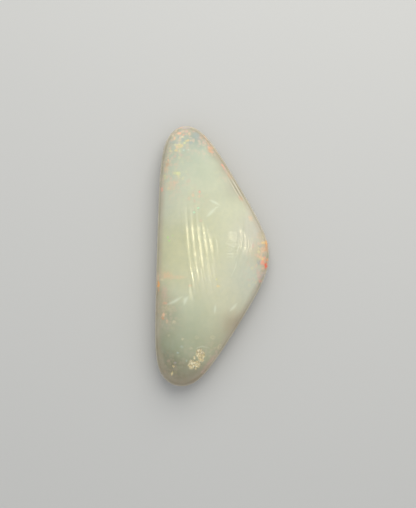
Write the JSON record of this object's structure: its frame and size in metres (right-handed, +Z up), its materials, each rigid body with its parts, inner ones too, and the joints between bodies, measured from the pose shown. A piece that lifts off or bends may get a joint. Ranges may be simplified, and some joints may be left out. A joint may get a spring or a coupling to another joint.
{
  "type": "polished freeform opal",
  "caption": "Milky polished opal cut as a long rounded triangle with a full crown, a rounded rim and a flat back to rest on.",
  "frame": {"origin": "centre of the stone's plan, on the flat back it rests on", "axes": "+Z up out of the crown, +Y along the stone's length towards the narrow top end, +X towards the blunt side corner"},
  "size_m": [0.014, 0.0319, 0.0052],
  "materials": {
    "opal": "milky opal with colour flecks and sandy pockets, ground and polished to a soft gloss"
  },
  "bodies": {
    "root": {"opal": "opal"}
  },
  "joints": []
}
